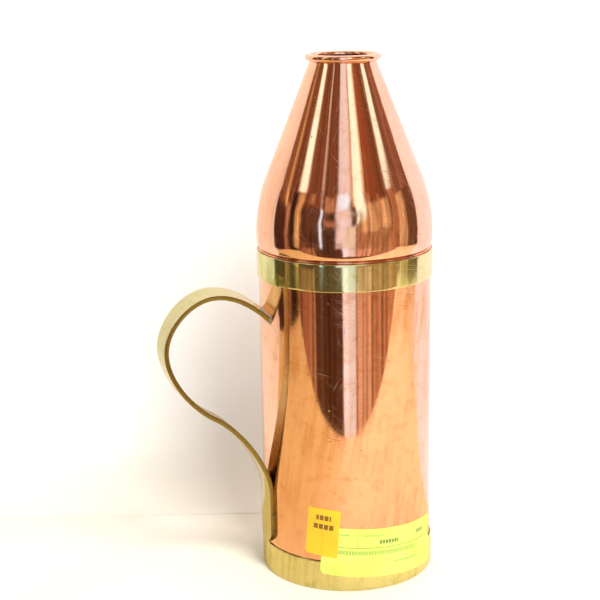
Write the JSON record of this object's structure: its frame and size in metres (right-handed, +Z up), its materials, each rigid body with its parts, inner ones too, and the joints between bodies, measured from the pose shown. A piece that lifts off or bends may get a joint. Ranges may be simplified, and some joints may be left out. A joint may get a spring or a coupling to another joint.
{
  "type": "growler",
  "caption": "Tall round copper growler with brass base and collar bands, a brass strap handle and a lift-off copper cone whose narrow open neck ends in a rolled rim.",
  "frame": {"origin": "centre of the flat underside that it stands on", "axes": "+Z up along the vessel's axis, -X towards the handle"},
  "size_m": [0.1559, 0.0972, 0.2889],
  "materials": {
    "copper_body": "polished copper with fine wiping marks",
    "copper_cone": "polished copper with fine wiping marks and small creases",
    "copper_inside": "dull unpolished copper",
    "brass_band": "polished brass, pale and slightly cloudy",
    "brass_strap": "polished brass, rubbed along the edges",
    "solder": "dull grey soft solder",
    "rim_wire": "plain drawn wire",
    "label_paper": "matt yellow-green label paper",
    "sticker_paper": "matt orange-yellow sticker paper"
  },
  "bodies": {
    "vessel": {"body_tube": "copper_body", "side_seam_solder": "solder", "floor_pan": "copper_inside", "floor_solder": "solder", "base_band": "brass_band", "collar_band": "brass_band", "handle_strap": "brass_strap", "handle_top_solder": "solder", "handle_tab_solder": "solder", "stock_label": "label_paper", "lot_sticker": "sticker_paper"},
    "top": {"cone_top": "copper_cone", "rim_wire": "rim_wire", "spigot_sleeve": "copper_inside", "spigot_solder": "solder"}
  },
  "joints": [
    {"name": "top_lift", "type": "slide", "parent": "vessel", "child": "top", "axis": [0, 0, 1], "range_m": [0, 0.06]}
  ]
}
